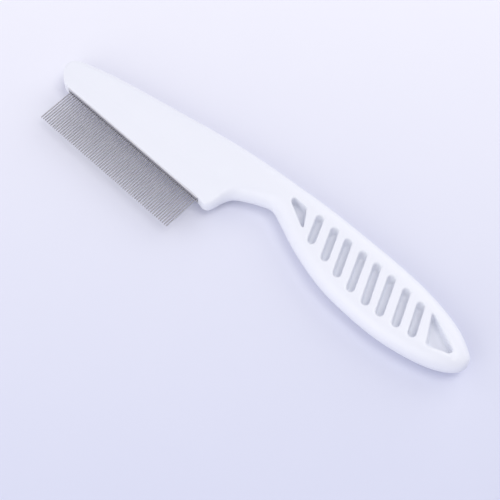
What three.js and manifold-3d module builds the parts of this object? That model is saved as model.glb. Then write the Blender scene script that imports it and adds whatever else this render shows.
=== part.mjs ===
// Flea comb: one moulded plastic handle and head with a row of fine steel pins along the head.
// Millimetres, +Z up. Drawing frame: U (= X) runs along the pin row from the tip of the head to the
// end of the handle, V (= Y) points from the pins to the spine, and Z = 0 is the mid-plane. The
// finished group is then set down with its underside on Z = 0 and its outline centred on the origin.
import * as THREE from "three";
import { mergeVertices } from "three/addons/utils/BufferGeometryUtils.js";
import Module from "manifold-3d";

const wasm = await Module();
wasm.setup();

// ---- driving dimensions ------------------------------------------------------------------

const HANDLE_HALF = 5.2; // half thickness of the handle
const EDGE_STEPS = 5; // facets round each rolled edge
const FACE_STEPS = 3; // facets across the face between them
const RIB_SPACING = 3.8; // greatest distance between two ribs

const PIN_COUNT = 66;
const PIN_PITCH = 0.925;
const PIN_FIRST = -0.62; // U of the first pin
const WIRE_RADIUS = 0.2;
const WIRE_SIDES = 6;
const PIN_TIP_V = -14.1;
const PIN_TAPER = 0.5; // length of the rounded tip
const PIN_TIP_SCALE = 0.45; // radius of the tip's end against the wire's
const BEND_V = 2.9; // where the wire starts to turn back
const BEND_STEPS = 4;

const COMB_EDGE_V = -0.25; // the moulded edge that the pins leave
const CHANNEL_HALF = 2.1; // half the width of the folded steel channel
const CHANNEL_WALL = 0.45;
const CHANNEL_PROUD = 0.25;
const CHANNEL_DEPTH = 5.9;
const CHANNEL_MARGIN = 0.85; // channel past the end pins' centres
const SLIT_HALF = 0.28; // half the mouth that the pins pass through
const FIT_GAP = 0.12; // clearance between nested pieces

const SLOT_HALF = 1.3;
const SLOT_FLOOR = 1.0; // height of the slots' floor above the mid-plane
const SLOT_ROUND_STEPS = 5;
const CUT_REACH = 8; // how far a cutter runs past the faces

// Ribs across the moulding, from the tip of the head to the end of the handle. low and up are the
// rib's ends on the pin side and on the spine, half its half thickness at each end, roll how far
// the rounding of each edge reaches in, and square the exponent of that rounding (2 is an ellipse,
// more is nearer a square wall). step is where the thickness steps up, as a fraction of the rib.
const RIBS = [
  { low: [-9.0, 5.6], up: [-8.9, 7.4], half: [2.2, 2.2], roll: [0.6, 0.6], square: [3, 3], step: 0.5 },
  { low: [-8.3, 4.0], up: [-8.2, 8.8], half: [2.4, 2.6], roll: [0.9, 1.6], square: [5, 3], step: 0.5 },
  { low: [-6.7, 2.1], up: [-6.9, 10.1], half: [2.5, 2.8], roll: [0.7, 2.4], square: [7, 2.6], step: 0.5 },
  { low: [-3.9, 0.0], up: [-5.0, 11.0], half: [2.6, 3.0], roll: [0.5, 3.0], square: [8, 2.4], step: 0.5 },
  { low: [-2.2, -0.25], up: [-3.4, 11.5], half: [2.6, 3.2], roll: [0.5, 3.2], square: [8, 2.3], step: 0.5 },
  { low: [10, -0.25], up: [7, 14.4], half: [2.6, 3.5], roll: [0.5, 3.6], square: [8, 2.2], step: 0.45 },
  { low: [30, -0.25], up: [22, 17.45], half: [2.6, 3.9], roll: [0.5, 4.0], square: [8, 2.2], step: 0.4 },
  { low: [50, -0.25], up: [37, 20.25], half: [2.6, 4.2], roll: [0.5, 4.5], square: [8, 2.2], step: 0.42 },
  { low: [60.4, -0.25], up: [45, 21.8], half: [2.6, 4.5], roll: [0.6, 4.8], square: [7, 2.2], step: 0.45 },
  { low: [63.4, -0.7], up: [48.5, 22.35], half: [2.6, 4.6], roll: [1.0, 5.0], square: [4, 2.2], step: 0.45 },
  { low: [65.0, 0.1], up: [52, 22.95], half: [2.8, 4.7], roll: [2.2, 5.0], square: [2.8, 2.2], step: 0.45 },
  { low: [66.0, 2.3], up: [56, 23.6], half: [3.4, 4.8], roll: [4.2, 5.2], square: [2.2, 2.2], step: 0.42 },
  { low: [66.7, 5.3], up: [60.5, 24.3], half: [3.9, 4.9], roll: [5.0, 5.4], square: [2.1, 2.1], step: 0.38 },
  { low: [68.3, 8.2], up: [65.5, 24.9], half: [4.4, 5.0], roll: [5.4, 5.6], square: [2.1, 2.1], step: 0.35 },
  { low: [71.9, 10.6], up: [72, 25.6], half: [4.9, 5.1], roll: [5.8, 5.9], square: [2, 2], step: 0.3 },
  { low: [75.6, 12.5], up: [76.5, 25.95], half: [5.1, 5.2], roll: [6.1, 6.0], square: [2, 2], step: 0.2 },
  { low: [80.3, 14.0], up: [82, 26.3], half: [5.2, 5.2], roll: [6.1, 6.1], square: [2, 2], step: 0.1 },
  { low: [86.1, 12.1], up: [87.5, 26.7], half: [5.2, 5.2], roll: [6.3, 6.3], square: [2.1, 2.1], step: 0 },
  { low: [92.2, 9.6], up: [93, 27.0], half: [5.2, 5.2], roll: [6.5, 6.5], square: [2.2, 2.2], step: 0 },
  { low: [98.4, 7.4], up: [98.4, 27.2], half: [5.2, 5.2], roll: [6.7, 6.7], square: [2.2, 2.2], step: 0 },
  { low: [110.8, 4.3], up: [110.8, 27.35], half: [5.2, 5.2], roll: [7, 7], square: [2.2, 2.2], step: 0 },
  { low: [123.2, 3.3], up: [123.2, 27.3], half: [5.2, 5.2], roll: [7, 7], square: [2.2, 2.2], step: 0 },
  { low: [135.6, 3.6], up: [135.6, 26.6], half: [5.2, 5.2], roll: [7, 7], square: [2.2, 2.2], step: 0 },
  { low: [147.6, 5.8], up: [146.4, 24.8], half: [5.2, 5.2], roll: [6.6, 6.6], square: [2.2, 2.2], step: 0 },
  { low: [154.4, 8.1], up: [153.6, 22.6], half: [4.9, 4.9], roll: [5.6, 5.6], square: [2.1, 2.1], step: 0 },
  { low: [158.6, 10.5], up: [158.2, 20.2], half: [4.2, 4.2], roll: [4.4, 4.4], square: [2, 2], step: 0 },
  { low: [160.9, 12.9], up: [160.7, 18.3], half: [3.0, 3.0], roll: [2.6, 2.6], square: [2, 2], step: 0 },
  { low: [161.6, 15.1], up: [161.6, 16.3], half: [1.2, 1.2], roll: [0.5, 0.5], square: [2, 2], step: 0 },
];

// Centre lines of the eight slanted slots, from the spine side to the belly side.
const SLOTS = [
  [[95.6, 20.3], [98.7, 13.1]],
  [[102.0, 20.3], [105.9, 11.5]],
  [[107.8, 20.3], [112.4, 10.0]],
  [[114.2, 20.3], [118.9, 9.2]],
  [[120.2, 20.2], [125.3, 8.9]],
  [[126.4, 20.1], [131.0, 9.2]],
  [[132.7, 19.9], [137.1, 9.9]],
  [[139.0, 19.4], [142.9, 10.8]],
];

// Corners of the two blind recesses, ahead of the slots and behind them, cut as deep as the slots.
const FRONT_RECESS = [[84.0, 20.6], [89.8, 20.5], [94.3, 13.8], [84.4, 18.9]];
const REAR_RECESS = [[142.9, 20.6], [148.6, 10.8], [155.6, 13.6], [155.9, 15.3]];
const CORNER_RADIUS = 0.6;

// ---- helpers -----------------------------------------------------------------------------

function toSolid(geometry) {
  const bare = geometry.clone();
  bare.deleteAttribute("normal");
  bare.deleteAttribute("uv");
  const merged = mergeVertices(bare, 1e-4);
  const vertProperties = new Float32Array(merged.attributes.position.array);
  const triVerts = new Uint32Array(merged.index.array);
  return new wasm.Manifold(new wasm.Mesh({ numProp: 3, vertProperties, triVerts }));
}

function toGeometry(solid) {
  const { vertProperties, triVerts } = solid.getMesh();
  const geometry = new THREE.BufferGeometry();
  geometry.setAttribute("position", new THREE.BufferAttribute(vertProperties, 3));
  geometry.setIndex(new THREE.BufferAttribute(triVerts, 1));
  geometry.computeVertexNormals();
  return geometry;
}

// A closed skin over rings of points: quads between rings and a fan over each end.
function skin(rings) {
  const size = rings[0].length;
  const positions = [];
  const triangles = [];
  rings.forEach((ring) => ring.forEach((p) => positions.push(...p)));
  for (let i = 0; i < rings.length - 1; i++) {
    for (let j = 0; j < size; j++) {
      const a = i * size + j;
      const b = i * size + ((j + 1) % size);
      triangles.push(a, b, a + size, b, b + size, a + size);
    }
  }
  [0, rings.length - 1].forEach((i) => {
    const centre = positions.length / 3;
    const sum = rings[i].reduce((s, p) => s.map((v, k) => v + p[k]), [0, 0, 0]);
    positions.push(...sum.map((v) => v / size));
    for (let j = 0; j < size; j++) {
      const a = i * size + j;
      const b = i * size + ((j + 1) % size);
      triangles.push(...(i === 0 ? [b, a, centre] : [a, b, centre]));
    }
  });
  const geometry = new THREE.BufferGeometry();
  geometry.setAttribute("position", new THREE.Float32BufferAttribute(positions, 3));
  geometry.setIndex(triangles);
  return geometry;
}

// A profile drawn in V (across) and Z (up), extruded along U.
function barAlongU(profile, from, to) {
  const shape = new THREE.Shape(profile.map(([v, z]) => new THREE.Vector2(v, z)));
  const bar = new THREE.ExtrudeGeometry(shape, { depth: to - from, bevelEnabled: false });
  bar.rotateY(Math.PI / 2);
  bar.rotateX(Math.PI / 2);
  return bar.translate(from, 0, 0);
}

// A plan outline, extruded upwards.
function plate(shape, from, to) {
  const body = new THREE.ExtrudeGeometry(shape, {
    depth: to - from,
    bevelEnabled: false,
    curveSegments: SLOT_ROUND_STEPS,
  });
  return body.translate(0, 0, from);
}

// A plan outline with straight sides and small round corners.
function roundedOutline(corners, radius) {
  const points = corners.map(([u, v]) => new THREE.Vector2(u, v));
  const shape = new THREE.Shape();
  points.forEach((corner, i) => {
    const before = points.at(i - 1);
    const after = points[(i + 1) % points.length];
    const reach = (end) => Math.min(radius, 0.45 * corner.distanceTo(end));
    const start = corner.clone().add(before.clone().sub(corner).setLength(reach(before)));
    const end = corner.clone().add(after.clone().sub(corner).setLength(reach(after)));
    if (i === 0) shape.moveTo(start.x, start.y);
    else shape.lineTo(start.x, start.y);
    shape.quadraticCurveTo(corner.x, corner.y, end.x, end.y);
  });
  shape.closePath();
  return shape;
}

// A slot's plan outline: two straight sides with round ends.
function slotOutline([[u0, v0], [u1, v1]], half) {
  const heading = Math.atan2(v1 - v0, u1 - u0);
  const shape = new THREE.Shape();
  shape.absarc(u0, v0, half, heading + Math.PI / 2, heading + 1.5 * Math.PI, false);
  shape.absarc(u1, v1, half, heading - Math.PI / 2, heading + Math.PI / 2, false);
  shape.closePath();
  return shape;
}

// ---- the moulded body --------------------------------------------------------------------

// Half thickness at a fraction of the rib's width: one level, a soft step, then the other level.
function levelAt(fraction, half, step) {
  const rise = THREE.MathUtils.smoothstep(fraction, step, Math.min(1, step + 0.4));
  return THREE.MathUtils.lerp(half[0], half[1], rise);
}

// One closed ring of points round the moulding at a rib.
function ribRing({ low, up, half, roll, square, step }) {
  const width = low.distanceTo(up);
  const reach = roll.map((r) => Math.min(r, width / 2));
  const upper = [];
  for (let i = 0; i <= EDGE_STEPS; i++) {
    const angle = (i / EDGE_STEPS) * (Math.PI / 2);
    const along = reach[0] * (1 - Math.cos(angle) ** (2 / square[0]));
    upper.push([along, Math.sin(angle) ** (2 / square[0])]);
  }
  for (let i = 1; i < FACE_STEPS; i++) {
    upper.push([THREE.MathUtils.lerp(reach[0], width - reach[1], i / FACE_STEPS), 1]);
  }
  for (let i = EDGE_STEPS; i >= 0; i--) {
    const angle = (i / EDGE_STEPS) * (Math.PI / 2);
    const along = reach[1] * (1 - Math.cos(angle) ** (2 / square[1]));
    upper.push([width - along, Math.sin(angle) ** (2 / square[1])]);
  }
  const place = ([along, rise], side) => {
    const fraction = along / width;
    const p = low.clone().lerp(up, fraction);
    const z = side * rise * levelAt(fraction, half, step);
    return [p.x, p.y, z];
  };
  const top = upper.map((p) => place(p, 1));
  const bottom = upper.slice(1, -1).reverse().map((p) => place(p, -1));
  return [...top, ...bottom].reverse();
}

function ribsBetweenKeys() {
  const lift = ([u, v]) => new THREE.Vector3(u, v, 0);
  const lowCurve = new THREE.CatmullRomCurve3(RIBS.map((r) => lift(r.low)));
  const upCurve = new THREE.CatmullRomCurve3(RIBS.map((r) => lift(r.up)));
  const last = RIBS.length - 1;
  const ribs = [];
  for (let key = 0; key < last; key++) {
    const a = RIBS[key];
    const b = RIBS[key + 1];
    const gap = Math.max(lift(a.low).distanceTo(lift(b.low)), lift(a.up).distanceTo(lift(b.up)));
    const count = Math.ceil(gap / RIB_SPACING);
    for (let i = 0; i < count + (key === last - 1 ? 1 : 0); i++) {
      const t = i / count;
      const mix = (name, side) => THREE.MathUtils.lerp(a[name][side], b[name][side], t);
      ribs.push({
        low: lowCurve.getPoint((key + t) / last),
        up: upCurve.getPoint((key + t) / last),
        half: [mix("half", 0), mix("half", 1)],
        roll: [mix("roll", 0), mix("roll", 1)],
        square: [mix("square", 0), mix("square", 1)],
        step: THREE.MathUtils.lerp(a.step, b.step, t),
      });
    }
  }
  return ribs;
}

const channelFrom = PIN_FIRST - CHANNEL_MARGIN;
const channelTo = PIN_FIRST + (PIN_COUNT - 1) * PIN_PITCH + CHANNEL_MARGIN;
const channelOuterV = COMB_EDGE_V - CHANNEL_PROUD;
const channelInnerV = channelOuterV + CHANNEL_DEPTH;

function combBody() {
  let body = toSolid(skin(ribsBetweenKeys().map(ribRing)));
  const cut = (geometry) => {
    body = body.subtract(toSolid(geometry));
  };
  SLOTS.forEach((slot) => {
    cut(plate(slotOutline(slot, SLOT_HALF), SLOT_FLOOR, CUT_REACH));
    cut(plate(slotOutline(slot, SLOT_HALF), -CUT_REACH, -SLOT_FLOOR));
  });
  [FRONT_RECESS, REAR_RECESS].forEach((corners) => {
    const recess = roundedOutline(corners, CORNER_RADIUS);
    cut(plate(recess, SLOT_FLOOR, CUT_REACH));
    cut(plate(recess, -CUT_REACH, -SLOT_FLOOR));
  });
  const half = CHANNEL_HALF + FIT_GAP;
  const groove = [
    [COMB_EDGE_V - CUT_REACH, -half],
    [channelInnerV + FIT_GAP, -half],
    [channelInnerV + FIT_GAP, half],
    [COMB_EDGE_V - CUT_REACH, half],
  ];
  cut(barAlongU(groove, channelFrom - FIT_GAP, channelTo + FIT_GAP));
  return toGeometry(body);
}

// ---- the steel channel and the resin inside it ------------------------------------------

// A folded strip: a box in section, open only at the slit that the pins pass through.
function rootChannel() {
  const outer = channelOuterV;
  const inner = channelInnerV;
  const half = CHANNEL_HALF;
  const wall = CHANNEL_WALL;
  const profile = [
    [outer, SLIT_HALF],
    [outer, half],
    [inner, half],
    [inner, -half],
    [outer, -half],
    [outer, -SLIT_HALF],
    [outer + wall, -SLIT_HALF],
    [outer + wall, wall - half],
    [inner - wall, wall - half],
    [inner - wall, half - wall],
    [outer + wall, half - wall],
    [outer + wall, SLIT_HALF],
  ];
  return toGeometry(toSolid(barAlongU(profile, channelFrom, channelTo)));
}

// The resin lies on both sides of the wires and closes over their bends.
function rootResin() {
  const outer = channelOuterV + CHANNEL_WALL + FIT_GAP;
  const inner = channelInnerV - CHANNEL_WALL - FIT_GAP;
  const half = CHANNEL_HALF - CHANNEL_WALL - FIT_GAP;
  const bendTop = BEND_V + PIN_PITCH / 2 + WIRE_RADIUS + FIT_GAP;
  const profile = [
    [outer, SLIT_HALF],
    [outer, half],
    [inner, half],
    [inner, -half],
    [outer, -half],
    [outer, -SLIT_HALF],
    [bendTop, -SLIT_HALF],
    [bendTop, SLIT_HALF],
  ];
  return toGeometry(toSolid(barAlongU(profile, channelFrom, channelTo)));
}

// ---- the pins ----------------------------------------------------------------------------

// Two pins are one wire bent double: up one leg, round the bend, down the other.
function hairpin() {
  const bend = PIN_PITCH / 2;
  const stations = [
    { u: 0, v: PIN_TIP_V, angle: 0, scale: PIN_TIP_SCALE },
    { u: 0, v: PIN_TIP_V + PIN_TAPER, angle: 0, scale: 1 },
  ];
  for (let i = 0; i <= BEND_STEPS; i++) {
    const angle = (i / BEND_STEPS) * Math.PI;
    const u = bend - bend * Math.cos(angle);
    const v = BEND_V + bend * Math.sin(angle);
    stations.push({ u, v, angle, scale: 1 });
  }
  stations.push(
    { u: PIN_PITCH, v: PIN_TIP_V + PIN_TAPER, angle: Math.PI, scale: 1 },
    { u: PIN_PITCH, v: PIN_TIP_V, angle: Math.PI, scale: PIN_TIP_SCALE },
  );
  const rings = stations.map(({ u, v, angle, scale }) => {
    const ring = [];
    for (let j = 0; j < WIRE_SIDES; j++) {
      const turn = (j / WIRE_SIDES) * 2 * Math.PI;
      const out = -WIRE_RADIUS * scale * Math.cos(turn);
      const z = WIRE_RADIUS * scale * Math.sin(turn);
      ring.push([u + out * Math.cos(angle), v - out * Math.sin(angle), z]);
    }
    return ring;
  });
  return toGeometry(toSolid(skin(rings)));
}

// ---- materials ---------------------------------------------------------------------------

const whitePlastic = new THREE.MeshStandardMaterial({ color: 0xf1f3fa, roughness: 0.32, metalness: 0 });
const channelSteel = new THREE.MeshStandardMaterial({ color: 0x9b9ba4, roughness: 0.4, metalness: 1 });
const pinSteel = new THREE.MeshStandardMaterial({ color: 0xc4c2c8, roughness: 0.25, metalness: 1 });
const resin = new THREE.MeshStandardMaterial({ color: 0xcfc9b8, roughness: 0.5, metalness: 0 });

// ---- assembly ----------------------------------------------------------------------------

function named(name, geometry, material) {
  const mesh = new THREE.Mesh(geometry, material);
  mesh.name = name;
  return mesh;
}

const comb = new THREE.Group();
comb.add(named("comb_body", combBody(), whitePlastic));
comb.add(named("root_channel", rootChannel(), channelSteel));
comb.add(named("root_resin", rootResin(), resin));

const pinRow = new THREE.Group();
for (let i = 0; i < PIN_COUNT / 2; i++) {
  const wire = named("hairpin_" + String(i + 1).padStart(2, "0"), hairpin(), pinSteel);
  wire.position.x = PIN_FIRST + 2 * i * PIN_PITCH;
  pinRow.add(wire);
}
comb.add(pinRow);

const reach = new THREE.Box3().setFromObject(comb);
const middle = reach.getCenter(new THREE.Vector3());
comb.position.set(-middle.x, -middle.y, HANDLE_HALF);

const part = new THREE.Group();
part.add(comb);
export default part;
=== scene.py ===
import math
import random

import bmesh
import bpy
import numpy as np
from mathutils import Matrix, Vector


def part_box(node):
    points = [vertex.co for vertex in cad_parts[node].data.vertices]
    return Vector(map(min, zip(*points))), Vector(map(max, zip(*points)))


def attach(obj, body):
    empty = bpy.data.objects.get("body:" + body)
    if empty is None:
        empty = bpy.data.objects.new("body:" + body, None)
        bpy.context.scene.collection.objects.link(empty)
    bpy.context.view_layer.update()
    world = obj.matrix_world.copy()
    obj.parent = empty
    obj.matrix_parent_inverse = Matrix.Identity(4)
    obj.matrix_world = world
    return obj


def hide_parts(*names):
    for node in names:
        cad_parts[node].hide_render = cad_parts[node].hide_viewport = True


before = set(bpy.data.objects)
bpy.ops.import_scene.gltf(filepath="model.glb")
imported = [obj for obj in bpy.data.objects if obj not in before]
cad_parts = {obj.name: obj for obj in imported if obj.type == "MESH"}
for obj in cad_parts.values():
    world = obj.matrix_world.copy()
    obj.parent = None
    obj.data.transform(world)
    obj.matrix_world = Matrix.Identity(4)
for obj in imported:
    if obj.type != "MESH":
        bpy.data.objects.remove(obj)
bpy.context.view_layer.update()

MM = 0.001


# ---- camera ----------------------------------------------------------------------------------
# A long lens above the pins' side of the comb, a little over a forearm away, looking steeply down
# at the grip end of the head.
VIEW_TARGET = Vector((9.0, -8.1, 5.2)) * MM
VIEW_DISTANCE = 420 * MM
VIEW_ELEVATION = math.radians(64.1)
VIEW_BEARING = math.radians(-46.4)
LENS_MM = 93.6

camera_data = bpy.data.cameras.new("camera")
camera_data.lens = LENS_MM
camera_data.sensor_width = 36
camera_data.clip_start = 10 * MM
camera = bpy.data.objects.new("camera", camera_data)
towards_eye = Vector((
    math.cos(VIEW_ELEVATION) * math.cos(VIEW_BEARING),
    math.cos(VIEW_ELEVATION) * math.sin(VIEW_BEARING),
    math.sin(VIEW_ELEVATION),
))
camera.location = VIEW_TARGET + VIEW_DISTANCE * towards_eye
camera.rotation_euler = towards_eye.to_track_quat("Z", "Y").to_euler()
bpy.context.scene.collection.objects.link(camera)
bpy.context.scene.camera = camera
bpy.context.scene.view_settings.view_transform = "Standard"


# ---- the moulding: head, neck and handle ------------------------------------------------------
# One injection moulding in glossy white plastic. The head is a wedge, thin along the pins and
# thicker and rounder along the spine; it rolls round the finger notch into a neck that is nearly
# round, and swells into a flat-faced handle. Both faces are alike, as two halves of one mould.

# The drawing frame: U along the pin row, V from the pins to the spine, in millimetres, with its
# origin at the first pin's end of the moulded edge. The wires of the frame say where that is.
WIRE_RADIUS = 0.2
PIN_TIP_V = -14.1
PIN_FIRST_U = -0.62
first_wire_low, first_wire_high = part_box("hairpin_01")
DRAWING_ORIGIN = Vector((
    first_wire_low.x - (PIN_FIRST_U - WIRE_RADIUS) * MM,
    first_wire_low.y - PIN_TIP_V * MM,
    (first_wire_low.z + first_wire_high.z) / 2,
))

# Ribs across the moulding from the tip of the head to the end of the handle: the rib's low end on
# the pin side, its up end on the spine, the half thickness at each end, how far each edge's
# rounding reaches in, the squareness of that rounding (2 is an ellipse), and where along the rib
# the thin blade steps up to the thick spine.
RIBS = [
    # low            up             half        roll        square      step
    ((-9.0, 5.6), (-8.9, 7.4), (2.2, 2.2), (0.6, 0.6), (3.0, 3.0), 0.50),
    ((-8.3, 4.0), (-8.2, 8.8), (2.4, 2.6), (0.9, 1.6), (5.0, 3.0), 0.50),
    ((-6.7, 2.1), (-6.9, 10.1), (2.5, 2.8), (0.7, 2.4), (7.0, 2.6), 0.50),
    ((-3.9, 0.0), (-5.0, 11.0), (2.6, 3.0), (0.5, 3.0), (8.0, 2.4), 0.50),
    ((-2.2, -0.25), (-3.4, 11.5), (2.6, 3.2), (0.5, 3.2), (8.0, 2.3), 0.50),
    ((10.0, -0.25), (7.0, 14.4), (2.6, 3.5), (0.5, 3.6), (8.0, 2.2), 0.45),
    ((30.0, -0.25), (22.0, 17.45), (2.6, 3.9), (0.5, 4.0), (8.0, 2.2), 0.40),
    ((50.0, -0.25), (37.0, 20.25), (2.6, 4.2), (0.5, 4.5), (8.0, 2.2), 0.42),
    ((60.4, -0.25), (45.0, 21.8), (2.6, 4.5), (0.6, 4.8), (7.0, 2.2), 0.45),
    ((63.4, -0.7), (48.5, 22.35), (2.6, 4.6), (1.0, 5.0), (4.0, 2.2), 0.45),
    ((65.0, 0.1), (52.0, 22.95), (2.8, 4.7), (2.2, 5.0), (2.8, 2.2), 0.45),
    ((66.0, 2.3), (56.0, 23.6), (3.4, 4.8), (4.2, 5.2), (2.2, 2.2), 0.42),
    ((66.7, 5.3), (60.5, 24.3), (3.9, 4.9), (5.0, 5.4), (2.1, 2.1), 0.38),
    ((68.3, 8.2), (65.5, 24.9), (4.4, 5.0), (5.4, 5.6), (2.1, 2.1), 0.35),
    ((71.9, 10.6), (72.0, 25.6), (4.9, 5.1), (5.8, 5.9), (2.0, 2.0), 0.30),
    ((75.6, 12.5), (76.5, 25.95), (5.1, 5.2), (6.1, 6.0), (2.0, 2.0), 0.20),
    ((80.3, 14.0), (82.0, 26.3), (5.2, 5.2), (6.1, 6.1), (2.0, 2.0), 0.10),
    ((86.1, 12.1), (87.5, 26.7), (5.2, 5.2), (6.3, 6.3), (2.1, 2.1), 0.0),
    ((92.2, 9.6), (93.0, 27.0), (5.2, 5.2), (6.5, 6.5), (2.2, 2.2), 0.0),
    ((98.4, 7.4), (98.4, 27.2), (5.2, 5.2), (6.7, 6.7), (2.2, 2.2), 0.0),
    ((110.8, 4.3), (110.8, 27.35), (5.2, 5.2), (7.0, 7.0), (2.2, 2.2), 0.0),
    ((123.2, 3.3), (123.2, 27.3), (5.2, 5.2), (7.0, 7.0), (2.2, 2.2), 0.0),
    ((135.6, 3.6), (135.6, 26.6), (5.2, 5.2), (7.0, 7.0), (2.2, 2.2), 0.0),
    ((147.6, 5.8), (146.4, 24.8), (5.2, 5.2), (6.6, 6.6), (2.2, 2.2), 0.0),
    ((154.4, 8.1), (153.6, 22.6), (4.9, 4.9), (5.6, 5.6), (2.1, 2.1), 0.0),
    ((158.6, 10.5), (158.2, 20.2), (4.2, 4.2), (4.4, 4.4), (2.0, 2.0), 0.0),
    ((160.9, 12.9), (160.7, 18.3), (3.0, 3.0), (2.6, 2.6), (2.0, 2.0), 0.0),
    ((161.6, 15.1), (161.6, 16.3), (1.2, 1.2), (0.5, 0.5), (2.0, 2.0), 0.0),
]
RIB_SPACING = 0.7
EDGE_STEPS = 14
FACE_STEPS = 16
STEP_WIDTH = 0.55


def smooth_row(rows, key, t):
    """The row at t between two keys, on a centripetal spline through all of them."""
    ends = slice(0, 4)  # a row starts with its low and up ends
    last = len(rows) - 1
    before = rows[key - 1] if key > 0 else 2 * rows[0] - rows[1]
    after = rows[key + 2] if key + 2 <= last else 2 * rows[last] - rows[last - 1]
    a, b = rows[key], rows[key + 1]

    def apart(p, q):
        return max(float(np.linalg.norm(q[ends] - p[ends])) ** 0.5, 1e-3)

    d0, d1, d2 = apart(before, a), apart(a, b), apart(b, after)
    slope_a = ((a - before) / d0 - (b - before) / (d0 + d1) + (b - a) / d1) * d1
    slope_b = ((b - a) / d1 - (after - a) / (d1 + d2) + (after - b) / d2) * d1
    bend = -3 * a + 3 * b - 2 * slope_a - slope_b
    twist = 2 * a - 2 * b + slope_a + slope_b
    return a + slope_a * t + bend * t**2 + twist * t**3


def rib_ring(row):
    """One closed ring of points round the moulding, in the drawing frame."""
    low, up = row[0:2], row[2:4]
    half, roll, square, step = row[4:6], row[6:8], row[8:10], row[10]
    width = float(np.linalg.norm(up - low))
    reach = [min(r, width / 2) for r in roll]
    side = []
    for i in range(EDGE_STEPS + 1):
        angle = i / EDGE_STEPS * math.pi / 2
        cos, sin = max(math.cos(angle), 0.0), math.sin(angle)
        side.append((reach[0] * (1 - cos ** (2 / square[0])), sin ** (2 / square[0])))
    for i in range(1, FACE_STEPS):
        share = i / FACE_STEPS
        side.append((reach[0] * (1 - share) + (width - reach[1]) * share, 1.0))
    for i in range(EDGE_STEPS, -1, -1):
        angle = i / EDGE_STEPS * math.pi / 2
        cos, sin = max(math.cos(angle), 0.0), math.sin(angle)
        side.append((width - reach[1] * (1 - cos ** (2 / square[1])), sin ** (2 / square[1])))

    def place(along, rise, sign):
        share = along / width
        climb = min(max((share - step) / STEP_WIDTH, 0.0), 1.0)
        level = half[0] + (half[1] - half[0]) * (1 - (1 - climb) ** 2)
        u, v = low + (up - low) * share
        return (u, v, sign * rise * level)

    top = [place(along, rise, 1) for along, rise in side]
    bottom = [place(along, rise, -1) for along, rise in side[-2:0:-1]]
    return top + bottom


def new_piece(name, points, faces):
    """A mesh object from points in the drawing frame."""
    mesh = bpy.data.meshes.new(name)
    mesh.from_pydata([DRAWING_ORIGIN + Vector(p) * MM for p in points], [], faces)
    mesh.update()
    piece = bpy.data.objects.new(name, mesh)
    bpy.context.scene.collection.objects.link(piece)
    return piece


def skin_rings(name, rings):
    """Quads between closed rings of points, with a flat cap over each end."""
    size = len(rings[0])
    points = [p for ring in rings for p in ring]
    faces = [tuple(range(size)), tuple(range(len(points) - 1, len(points) - size - 1, -1))]
    for i in range(len(rings) - 1):
        for j in range(size):
            a, b = i * size + j, i * size + (j + 1) % size
            faces.append((b, a, a + size, b + size))
    piece = new_piece(name, points, faces)
    outward(piece)
    return piece


def outward(piece):
    """Turns every face of a closed mesh outwards."""
    work = bmesh.new()
    work.from_mesh(piece.data)
    bmesh.ops.recalc_face_normals(work, faces=work.faces)
    work.to_mesh(piece.data)
    work.free()


def apply_modifier(piece, kind, **settings):
    """Adds a modifier with these settings and makes its result the piece's mesh."""
    modifier = piece.modifiers.new(kind.lower(), kind)
    for setting, value in settings.items():
        setattr(modifier, setting, value)
    evaluated = piece.evaluated_get(bpy.context.evaluated_depsgraph_get())
    result = bpy.data.meshes.new_from_object(evaluated)
    piece.modifiers.clear()
    old = piece.data
    piece.data = result
    bpy.data.meshes.remove(old)


def carve(piece, cutter):
    """Cuts a cutter out of a piece and throws the cutter away."""
    apply_modifier(piece, "BOOLEAN", operation="DIFFERENCE", solver="EXACT", object=cutter)
    bpy.data.objects.remove(cutter)


key_rows = [np.array([*low, *up, *half, *roll, *square, step], float)
            for low, up, half, roll, square, step in RIBS]
rings = []
for key in range(len(key_rows) - 1):
    a, b = key_rows[key], key_rows[key + 1]
    gap = max(np.linalg.norm(b[:2] - a[:2]), np.linalg.norm(b[2:4] - a[2:4]))
    count = math.ceil(gap / RIB_SPACING)
    rings += [rib_ring(smooth_row(key_rows, key, i / count)) for i in range(count)]
rings.append(rib_ring(key_rows[-1]))
moulding = skin_rings("comb_moulding", rings)
true_skin = skin_rings("true_skin", rings)

# The moulding's hollows, the same on both faces: eight slanted slots and the two triangular
# recesses ahead of them and behind them are blind pockets with a thin web left between faces.
SLOT_HALF = 1.3
POCKET_FLOOR = 1.0
RIM_HEIGHT = 4.2
DRAFT = 0.12  # how much smaller a pocket is at its web than at its rim
CUT_REACH = 8.0
SLOTS = [
    ((95.6, 20.3), (98.7, 13.1)),
    ((102.0, 20.3), (105.9, 11.5)),
    ((107.8, 20.3), (112.4, 10.0)),
    ((114.2, 20.3), (118.9, 9.2)),
    ((120.2, 20.2), (125.3, 8.9)),
    ((126.4, 20.1), (131.0, 9.2)),
    ((132.7, 19.9), (137.1, 9.9)),
    ((139.0, 19.4), (142.9, 10.8)),
]
FRONT_RECESS = [(84.0, 20.6), (89.8, 20.5), (94.3, 13.8), (84.4, 18.9)]
REAR_RECESS = [(142.9, 20.6), (148.6, 10.8), (155.6, 13.6), (155.9, 15.3)]
CORNER_RADIUS = 0.6
CORNER_SHARE = 0.45  # the most of a side that one rounded corner may take
CORNER_STEPS = 6
SLOT_END_STEPS = 16


def slot_outline(start, end):
    """A slot in plan: two straight sides between two half rounds."""
    heading = math.atan2(end[1] - start[1], end[0] - start[0])
    outline = []
    for (u, v), first in ((start, math.pi / 2), (end, -math.pi / 2)):
        for i in range(SLOT_END_STEPS + 1):
            angle = heading + first + i / SLOT_END_STEPS * math.pi
            outline.append((u + SLOT_HALF * math.cos(angle), v + SLOT_HALF * math.sin(angle)))
    return outline


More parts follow.
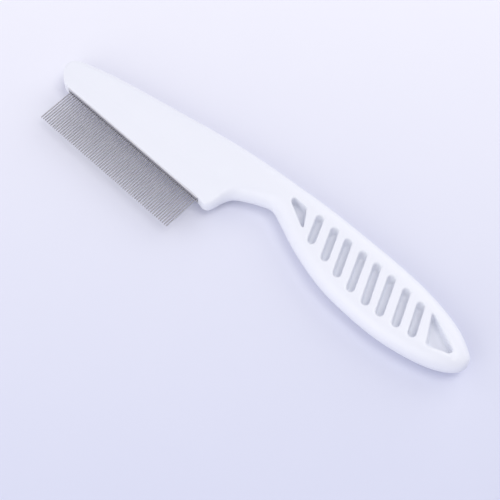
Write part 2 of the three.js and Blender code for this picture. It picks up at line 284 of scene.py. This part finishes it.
def round_corners(corners):
    """A recess in plan, with a short curve at each of its corners."""
    outline = []
    for i, corner in enumerate(corners):
        corner, before = Vector(corner), Vector(corners[i - 1])
        after = Vector(corners[(i + 1) % len(corners)])
        back, on = before - corner, after - corner
        start = corner + back.normalized() * min(CORNER_RADIUS, CORNER_SHARE * back.length)
        end = corner + on.normalized() * min(CORNER_RADIUS, CORNER_SHARE * on.length)
        for j in range(CORNER_STEPS + 1):
            t = j / CORNER_STEPS
            outline.append(tuple(start * (1 - t) ** 2 + corner * 2 * t * (1 - t) + end * t**2))
    return outline


def punch(outline, low, high):
    """A cutter between two heights, with this outline at the rim and drafted in towards the web."""
    centre = [sum(corner[axis] for corner in outline) / len(outline) for axis in (0, 1)]

    def ring(z):
        grown = 1 + DRAFT * (abs(z) - RIM_HEIGHT) / (RIM_HEIGHT - POCKET_FLOOR)
        return [(centre[0] + (u - centre[0]) * grown, centre[1] + (v - centre[1]) * grown, z)
                for u, v in outline]
    return skin_rings("punch", [ring(low), ring(high)])


pockets = [slot_outline(*slot) for slot in SLOTS]
pockets += [round_corners(FRONT_RECESS), round_corners(REAR_RECESS)]
for outline in pockets:
    carve(moulding, punch(outline, POCKET_FLOOR, CUT_REACH))
    carve(moulding, punch(outline, -CUT_REACH, -POCKET_FLOOR))

# The carved solid is remeshed in even quads and relaxed, which rounds the pockets' rims and the
# corners of the comb edge as a mould does. Away from those, the skin goes back to its true place.
QUAD = 0.37
RELAX_FACTOR = 0.5
RELAX_PASSES = 5
RIM_ZONE = (0.9, 2.0)
COMB_EDGE_V = -0.25
EDGE_ZONE = (0.3, 1.2)
HEAD_END_U = 66
HOLD_LEVELS = 20
OUTLINE_SPACING = 0.1
POCKET_REACH = 12  # no part of a pocket is farther than this from its middle
FAR_OFF = 9.0  # the clearance given to points beyond that
BATCH = 4000  # points measured at a time


def smooth_between(values, low, high):
    """0 below low, 1 above high, and an eased rise between them."""
    share = np.clip((values - low) / (high - low), 0, 1)
    return share * share * (3 - 2 * share)


def read_points(piece):
    """A piece's points in the drawing frame, as an array."""
    flat = np.empty(3 * len(piece.data.vertices), np.float32)
    piece.data.vertices.foreach_get("co", flat)
    return (flat.reshape(-1, 3).astype(float) - np.array(DRAWING_ORIGIN)) / MM


def write_points(piece, points):
    """Moves a piece's points to these places in the drawing frame."""
    flat = (points * MM + np.array(DRAWING_ORIGIN)).astype(np.float32).ravel()
    piece.data.vertices.foreach_set("co", flat)
    piece.data.update()


def clearance(points, outline):
    """How far each point lies outside an outline in plan, and 0 inside it."""
    corners = np.array(outline, float)
    runs = []
    for a, b in zip(corners, np.roll(corners, -1, axis=0)):
        count = max(1, math.ceil(np.linalg.norm(b - a) / OUTLINE_SPACING))
        runs.append(a + (b - a) * np.arange(count)[:, None] / count)
    edge = np.concatenate(runs)
    near = np.full(len(points), FAR_OFF)
    inside = np.zeros(len(points), bool)
    close = np.all(np.abs(points[:, :2] - edge.mean(0)) < POCKET_REACH, axis=1)
    plan = points[close][:, :2]
    for place in range(0, len(plan), BATCH):
        part = plan[place:place + BATCH]
        gaps = np.linalg.norm(part[:, None] - edge[None], axis=2).min(1)
        near[np.flatnonzero(close)[place:place + BATCH]] = gaps
    crossings = np.zeros(len(plan), int)
    for a, b in zip(corners, np.roll(corners, -1, axis=0)):
        spans = (a[1] > plan[:, 1]) != (b[1] > plan[:, 1])
        across = a[0] + (plan[:, 1] - a[1]) * (b[0] - a[0]) / (b[1] - a[1] or 1e-9)
        crossings += spans & (plan[:, 0] < across)
    inside[close] = crossings % 2 == 1
    return np.where(inside, 0.0, near)


apply_modifier(moulding, "REMESH", mode="VOXEL", voxel_size=QUAD * MM)
apply_modifier(moulding, "SMOOTH", factor=RELAX_FACTOR, iterations=RELAX_PASSES)
points = read_points(moulding)
hold = np.ones(len(points))
for outline in pockets:
    hold = np.minimum(hold, smooth_between(clearance(points, outline), *RIM_ZONE))
on_head = points[:, 0] < HEAD_END_U
hold = np.where(on_head, hold * smooth_between(points[:, 1] - COMB_EDGE_V, *EDGE_ZONE), hold)
group = moulding.vertex_groups.new(name="true")
for level in range(1, HOLD_LEVELS + 1):
    members = np.flatnonzero(np.round(hold * HOLD_LEVELS) == level).tolist()
    group.add(members, level / HOLD_LEVELS, "REPLACE")
apply_modifier(moulding, "SHRINKWRAP", target=true_skin, vertex_group="true")
moulding.vertex_groups.clear()
bpy.data.objects.remove(true_skin)

# The gate's witness mark: a shallow round dimple near the end of the handle, where the runner
# was twisted off.
GATE = (157.3, 13.6)
GATE_RADIUS = 1.0
GATE_FLOOR_RADIUS = 0.55
GATE_DEPTH = 0.14
points = read_points(moulding)
from_gate = np.linalg.norm(points[:, :2] - np.array(GATE), axis=1)
dimple = GATE_DEPTH * (1 - smooth_between(from_gate, GATE_FLOOR_RADIUS, GATE_RADIUS))
points[:, 2] -= np.where(points[:, 2] > 0, dimple, 0)
write_points(moulding, points)

# The groove that the steel channel is pressed into, cut to the channel's own size and a hair over.
CHANNEL_CLEARANCE = 0.06
channel_low, channel_high = [(corner - DRAWING_ORIGIN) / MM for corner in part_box("root_channel")]


def bar_along_u(name, profile, low, high):
    """A bar with this profile, drawn in V and height, between two places along U."""
    return skin_rings(name, [[(u, v, z) for v, z in profile] for u in (low, high)])


def grown_profile(low, high, grow):
    """A box's profile in V and height, larger by grow all round."""
    return [(low[1] - grow, low[2] - grow), (high[1] + grow, low[2] - grow),
            (high[1] + grow, high[2] + grow), (low[1] - grow, high[2] + grow)]


groove = bar_along_u("groove", grown_profile(channel_low, channel_high, CHANNEL_CLEARANCE),
                     channel_low.x - CHANNEL_CLEARANCE, channel_high.x + CHANNEL_CLEARANCE)
carve(moulding, groove)


def smooth_shading(piece, crease_degrees):
    """Smooth shading that breaks at edges sharper than this."""
    piece.data.shade_smooth()
    piece.data.set_sharp_from_angle(angle=math.radians(crease_degrees))


smooth_shading(moulding, 45)


class Value:
    """A value that varies over a surface: a shader node's output, open to arithmetic."""

    def __init__(self, tree, socket):
        self.tree = tree
        self.socket = socket

    def work_out(self, operation, first, second=0.0):
        node = self.tree.nodes.new("ShaderNodeMath")
        node.operation = operation
        feed(self.tree, node.inputs[0], first)
        feed(self.tree, node.inputs[1], second)
        return Value(self.tree, node.outputs[0])

    def __add__(self, other):
        return self.work_out("ADD", self, other)

    def __radd__(self, other):
        return self.work_out("ADD", other, self)

    def __sub__(self, other):
        return self.work_out("SUBTRACT", self, other)

    def __rsub__(self, other):
        return self.work_out("SUBTRACT", other, self)

    def __mul__(self, other):
        return self.work_out("MULTIPLY", self, other)

    def __rmul__(self, other):
        return self.work_out("MULTIPLY", other, self)

    def __truediv__(self, other):
        return self.work_out("DIVIDE", self, other)

    def __abs__(self):
        return self.work_out("ABSOLUTE", self)

    def most(self, other):
        return self.work_out("MAXIMUM", self, other)


def feed(tree, socket, value):
    """Links a value to a socket, or sets the socket where the value is a plain number."""
    if isinstance(value, Value):
        tree.links.new(value.socket, socket)
    else:
        socket.default_value = value


class Finish:
    """A material with one glossy shader, whose other nodes are added by name."""

    def __init__(self, name, **constants):
        self.material = bpy.data.materials.new(name)
        self.material.use_nodes = True
        self.tree = self.material.node_tree
        self.shader = self.tree.nodes["Principled BSDF"]
        self.set(**constants)

    def set(self, **sockets):
        for name, value in sockets.items():
            feed(self.tree, self.shader.inputs[name.replace("_", " ")], value)

    def node(self, kind, settings=None, output=0, **sockets):
        """A node of this type: its settings first, then its sockets, by name or by place."""
        node = self.tree.nodes.new("ShaderNode" + kind)
        for setting, value in (settings or {}).items():
            setattr(node, setting, value)
        for name, value in sockets.items():
            place = int(name[1:]) if name[1:].isdigit() else name.replace("_", " ")
            feed(self.tree, node.inputs[place], value)
        return Value(self.tree, node.outputs[output])

    def place(self):
        """Where a point is on the piece, in metres."""
        return self.node("TexCoord", output="Object")

    def part(self, where, axis):
        """One of a place's three coordinates."""
        return self.node("SeparateXYZ", output=axis, Vector=where)

    def stretch(self, where, scale):
        """A place with each coordinate multiplied, for marks that run along a piece."""
        return self.node("VectorMath", {"operation": "MULTIPLY"}, _0=where, _1=scale)

    def blotches(self, where, per_metre, detail):
        """Soft noise between 0 and 1 with this many blotches to the metre."""
        return self.node("TexNoise", Vector=where, Scale=per_metre, Detail=detail)

    def tint(self, share, dark, light):
        """A colour between two, by a value. A colour mix takes them at its sockets 6 and 7."""
        return self.node("Mix", {"data_type": "RGBA"}, output=2,
                         Factor=share, _6=(*dark, 1), _7=(*light, 1))

    def relief(self, height):
        """The normal of a surface that rises and falls by this height, in metres."""
        return self.node("Bump", Height=height, Distance=1.0, Strength=1.0)

    def dress(self, piece):
        """Makes this the piece's only material."""
        piece.data.materials.clear()
        piece.data.materials.append(self.material)


# The plastic: bright white with a faint blue cast, glossy, with the slight unevenness of a
# moulded skin, a fine parting line round its middle and rubbing on the high spots of the grip.
WHITE = (0.865, 0.88, 0.94)
WHITE_SHADE = (0.84, 0.86, 0.925)
PARTING_HALF_WIDTH = 0.14
PARTING_HEIGHT = 0.035
GRAIN_HEIGHT = 0.0022
HANDLING_HEIGHT = 0.012

plastic = Finish("white_plastic_finish", IOR=1.5)
where = plastic.place()
height = plastic.part(where, "Z")
flow = plastic.blotches(where, 55, detail=3)
grain = plastic.blotches(where, 2600, detail=2)
plastic.set(Base_Color=plastic.tint(flow, WHITE_SHADE, WHITE))
handling = plastic.blotches(where, 240, detail=4)
plastic.set(Roughness=0.27 + 0.10 * handling + 0.05 * grain)
from_middle = abs(height - DRAWING_ORIGIN.z) / (PARTING_HALF_WIDTH * MM)
parting = (1 - from_middle).most(0) * (PARTING_HEIGHT * MM)
skin_height = parting + grain * (GRAIN_HEIGHT * MM) + handling * (HANDLING_HEIGHT * MM)
plastic.set(Normal=plastic.relief(skin_height))
plastic.dress(moulding)

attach(moulding, "root")
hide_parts("comb_body")


# ---- the steel channel ------------------------------------------------------------------------
# A stainless strip folded into a box that is open along the slit the pins stand in. It is rolled
# to shape over the row of wires and pressed into the groove in the comb edge.
STRIP = 0.42
FOLD_RADIUS = 0.42
SLIT_HALF = 0.28
FOLD_STEPS = 8
LIP_STEPS = 6


def folded_strip(low, high):
    """The outline of the folded strip's section, in V and height."""
    half = STRIP / 2
    v0, v1, z1 = low[1] + half, high[1] - half, high[2] - half
    lip_z = SLIT_HALF + half
    corners = [(v0, lip_z), (v0, z1), (v1, z1), (v1, -z1), (v0, -z1), (v0, -lip_z)]
    path = [Vector(corners[0])]
    for before, corner, after in zip(corners, corners[1:], corners[2:]):
        before, corner, after = Vector(before), Vector(corner), Vector(after)
        start = corner + (before - corner).normalized() * FOLD_RADIUS
        end = corner + (after - corner).normalized() * FOLD_RADIUS
        for i in range(FOLD_STEPS + 1):
            t = i / FOLD_STEPS
            path.append(start * (1 - t) ** 2 + corner * 2 * t * (1 - t) + end * t**2)
    path.append(Vector(corners[-1]))
    outer, inner = [], []
    for i, point in enumerate(path):
        along = (path[min(i + 1, len(path) - 1)] - path[max(i - 1, 0)]).normalized()
        aside = Vector((-along.y, along.x))
        outer.append(point + aside * half)
        inner.append(point - aside * half)

    def lip(point, first):
        return [point + half * Vector((math.cos(first + i / LIP_STEPS * math.pi),
                                       math.sin(first + i / LIP_STEPS * math.pi)))
                for i in range(1, LIP_STEPS)]

    outline = outer + lip(path[-1], 0) + inner[::-1] + lip(path[0], math.pi)
    return [tuple(p) for p in outline]


strip_section = folded_strip(channel_low, channel_high)
channel = bar_along_u("steel_channel", strip_section, channel_low.x, channel_high.x)
smooth_shading(channel, 40)

STEEL_DARK = (0.60, 0.60, 0.63)
STEEL_LIGHT = (0.72, 0.72, 0.75)
BRUSHING_SCALE = (60, 4000, 4000)
BRUSHING_HEIGHT = 0.004
strip_steel = Finish("channel_steel_finish", Metallic=1.0)
where = strip_steel.place()
brushing = strip_steel.blotches(strip_steel.stretch(where, BRUSHING_SCALE), 1.0, detail=4)
stain = strip_steel.blotches(where, 350, detail=3)
strip_steel.set(Base_Color=strip_steel.tint(0.6 * brushing + 0.4 * stain, STEEL_DARK, STEEL_LIGHT))
strip_steel.set(Roughness=0.34 + 0.16 * brushing)
strip_steel.set(Normal=strip_steel.relief(brushing * (BRUSHING_HEIGHT * MM)))
strip_steel.dress(channel)
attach(channel, "root")
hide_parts("root_channel")


# ---- the resin in the channel -----------------------------------------------------------------
# Potting resin poured in round the wires' bends. It wets both walls and closes over the bends, and
# its front sinks a little between the wires.
PIN_PITCH = 0.925
RESIN_WAVE = 0.06
RESIN_STEP = 0.25
RESIN_SOFT = 0.25  # how far the rounding of its corners reaches
RESIN_CHAMFER = 0.07  # and how far in the middle of that rounding lies
RESIN_LIP = (0.05, 0.1)  # the same, along V and in height, where it meets the wires
resin_low, resin_high = [(corner - DRAWING_ORIGIN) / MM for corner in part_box("root_resin")]
BEND_TOP_V = 3.75  # how deep the hollow that the bends lie in goes


def resin_ring(u):
    """The bead's outline at this place along the row, hollow where the wires' bends lie."""
    sag = RESIN_WAVE * (1 - math.cos(2 * math.pi * (u - PIN_FIRST_U) / PIN_PITCH)) / 2
    v0, v1, z0, z1 = resin_low[1] + sag, resin_high[1], SLIT_HALF, resin_high[2]
    soft, cut = RESIN_SOFT, RESIN_CHAMFER
    upper = [(v0 + soft, z0), (v0 + RESIN_LIP[0], z0 + RESIN_LIP[1]), (v0, z0 + soft),
             (v0, z1 - soft), (v0 + cut, z1 - cut), (v0 + soft, z1),
             (v1 - soft, z1), (v1 - cut, z1 - cut), (v1, z1 - soft)]
    lower = [(v, -z) for v, z in reversed(upper)]
    inner = [(BEND_TOP_V, -SLIT_HALF), (BEND_TOP_V, SLIT_HALF)]
    return [(u, v, z) for v, z in upper + lower + inner]


resin_turns = math.ceil((resin_high.x - resin_low.x) / RESIN_STEP)
resin = skin_rings("potting_resin", [
    resin_ring(resin_low.x + (resin_high.x - resin_low.x) * i / resin_turns)
    for i in range(resin_turns + 1)
])
smooth_shading(resin, 50)

AMBER_DARK = (0.42, 0.37, 0.28)
AMBER_LIGHT = (0.62, 0.57, 0.46)
CLOUD_HEIGHT = 0.02
amber = Finish("resin_finish", IOR=1.55)
clouds = amber.blotches(amber.place(), 700, detail=4)
amber.set(Base_Color=amber.tint(clouds, AMBER_DARK, AMBER_LIGHT), Roughness=0.3 + 0.3 * clouds)
amber.set(Normal=amber.relief(clouds * (CLOUD_HEIGHT * MM)))
amber.dress(resin)
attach(resin, "root")
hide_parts("root_resin")


# ---- the pins ---------------------------------------------------------------------------------
# Drawn stainless wire, cut, bent double into hairpins and set side by side, so that each wire
# makes two pins. The free ends are tumbled until they are round, so that they don't scratch.
WIRE_SIDES = 16
TIP_STEPS = 6
LEG_STEPS = 14
BEND_STEPS = 14
TIP_FLAT = 0.35  # how far into its first step the flat end of a tip lies
TIP_STRAY = 0.035
STRAY_POWER = 1.5
random.seed(66)

PIN_DARK = (0.33, 0.32, 0.34)
PIN_LIGHT = (0.46, 0.45, 0.47)
DRAW_LINE_SCALE = (9000, 260, 9000)
DRAW_LINE_HEIGHT = 0.002
wire_steel = Finish("pin_steel_finish", Metallic=1.0)
along_wire = wire_steel.stretch(wire_steel.place(), DRAW_LINE_SCALE)
draw_lines = wire_steel.blotches(along_wire, 1.0, detail=3)
wire_steel.set(Base_Color=wire_steel.tint(draw_lines, PIN_DARK, PIN_LIGHT))
wire_steel.set(Roughness=0.22 + 0.16 * draw_lines)
wire_steel.set(Normal=wire_steel.relief(draw_lines * (DRAW_LINE_HEIGHT * MM)))


def wire_rings(low, high):
    """Rings along one hairpin, up its first leg, round the bend and down its second."""
    radius = (high.z - low.z) / (2 * math.sin(math.pi / 3))
    first, second = low.x + radius, high.x - radius
    bend = (second - first) / 2
    bend_v = high.y - bend - radius
    strays = [random.uniform(-TIP_STRAY, TIP_STRAY) for _ in range(4)]
    stations = []
    for leg_u, stray_u, stray_z, up in ((first, *strays[:2], 0.0), (second, *strays[2:], math.pi)):
        leg = []
        for i in range(TIP_STEPS):
            angle = (i + TIP_FLAT) / TIP_STEPS * math.pi / 2
            leg.append((low.y + radius * (1 - math.cos(angle)), radius * math.sin(angle)))
        for i in range(LEG_STEPS + 1):
            leg.append((low.y + radius + (bend_v - low.y - radius) * i / LEG_STEPS, radius))
        placed = []
        for v, r in leg:
            lean = max(0, (bend_v - v) / (bend_v - low.y)) ** STRAY_POWER
            placed.append((leg_u + stray_u * lean, v, stray_z * lean, up, r))
        if up:
            placed.reverse()
        else:
            turn = [(i + 1) / BEND_STEPS * math.pi for i in range(BEND_STEPS - 1)]
            placed += [(first + bend - bend * math.cos(a), bend_v + bend * math.sin(a), 0.0, a, radius)
                       for a in turn]
        stations += placed
    rings = []
    for u, v, height, heading, r in stations:
        ring = []
        for j in range(WIRE_SIDES):
            turn = j / WIRE_SIDES * 2 * math.pi
            out = -r * math.cos(turn)
            across = (u + out * math.cos(heading), v - out * math.sin(heading))
            ring.append((*across, height + r * math.sin(turn)))
        rings.append(ring)
    return rings


wires = sorted(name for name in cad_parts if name.startswith("hairpin_"))
for name in wires:
    low, high = [(corner - DRAWING_ORIGIN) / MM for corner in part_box(name)]
    wire = skin_rings("pins_" + name[-2:], wire_rings(low, high))
    smooth_shading(wire, 60)
    wire_steel.dress(wire)
    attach(wire, "root")
    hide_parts(name)


# ---- the table and the light ------------------------------------------------------------------
# A card to lie on, near white, with painted shade darkening it to lavender on the side nearest the
# camera, under a key lamp high beyond the spine, three broad low lamps from the pins' side, the
# head's end and the spine, and a pale tent.
CARD_HALF = 1.5
# Painted shade on the card: the first colour is the card shaded on the side nearest the camera, the
# second the card lit beyond the comb.
CARD_SHADED_NEAR = (0.665, 0.69, 0.845)
CARD_LIT_FAR = (0.90, 0.90, 0.97)
CARD_SHADE_SPAN = 0.23  # how far the card takes to go from one colour to the other
CARD_SHADE_BEARING = 133.6  # and which way, in degrees
CARD_MOTTLE = 0.05

card_mesh = bpy.data.meshes.new("card")
card_mesh.from_pydata([(-CARD_HALF, -CARD_HALF, 0), (CARD_HALF, -CARD_HALF, 0),
                       (CARD_HALF, CARD_HALF, 0), (-CARD_HALF, CARD_HALF, 0)], [], [(0, 1, 2, 3)])
card = bpy.data.objects.new("card", card_mesh)
bpy.context.scene.collection.objects.link(card)
paper = Finish("card_finish", Roughness=0.75)
where = paper.place()
# Painted shade: the card grows darker and bluer towards the camera, and lighter away from it.
shade_way = math.radians(CARD_SHADE_BEARING)
onward = paper.part(where, "X") * math.cos(shade_way) + paper.part(where, "Y") * math.sin(shade_way)
shade_fade = 0.5 + onward / CARD_SHADE_SPAN
mottle = CARD_MOTTLE * (paper.blotches(where, 40, detail=3) - 0.5)
paper.set(Base_Color=paper.tint(shade_fade + mottle, CARD_SHADED_NEAR, CARD_LIT_FAR))
paper.dress(card)


LAMP_WHITE = (1.0, 0.985, 0.9)
TENT_TINT = (0.86, 0.86, 1.0)
TENT_STRENGTH = 0.59


def soft_lamp(name, bearing, elevation, distance, size, watts):
    """A square lamp aimed at the comb; bearing and elevation in degrees."""
    data = bpy.data.lights.new(name, "AREA")
    data.shape = "SQUARE"
    data.size = size
    data.energy = watts
    data.color = LAMP_WHITE
    lamp = bpy.data.objects.new(name, data)
    towards = Vector((math.cos(math.radians(elevation)) * math.cos(math.radians(bearing)),
                      math.cos(math.radians(elevation)) * math.sin(math.radians(bearing)),
                      math.sin(math.radians(elevation))))
    lamp.location = VIEW_TARGET + towards * distance
    lamp.rotation_euler = towards.to_track_quat("Z", "Y").to_euler()
    bpy.context.scene.collection.objects.link(lamp)


soft_lamp("key", 40, 72, 0.9, 0.4, 1.7)
soft_lamp("front fill", 270, 30, 0.9, 0.8, 3.0)
soft_lamp("head fill", 205, 28, 0.9, 0.8, 1.4)
soft_lamp("spine sheen", 85, 24, 1.1, 1.0, 4.4)

tent = bpy.data.worlds.new("tent")
tent.use_nodes = True
glow = tent.node_tree.nodes["Background"]
glow.inputs["Color"].default_value = (*TENT_TINT, 1)
glow.inputs["Strength"].default_value = TENT_STRENGTH
bpy.context.scene.world = tent
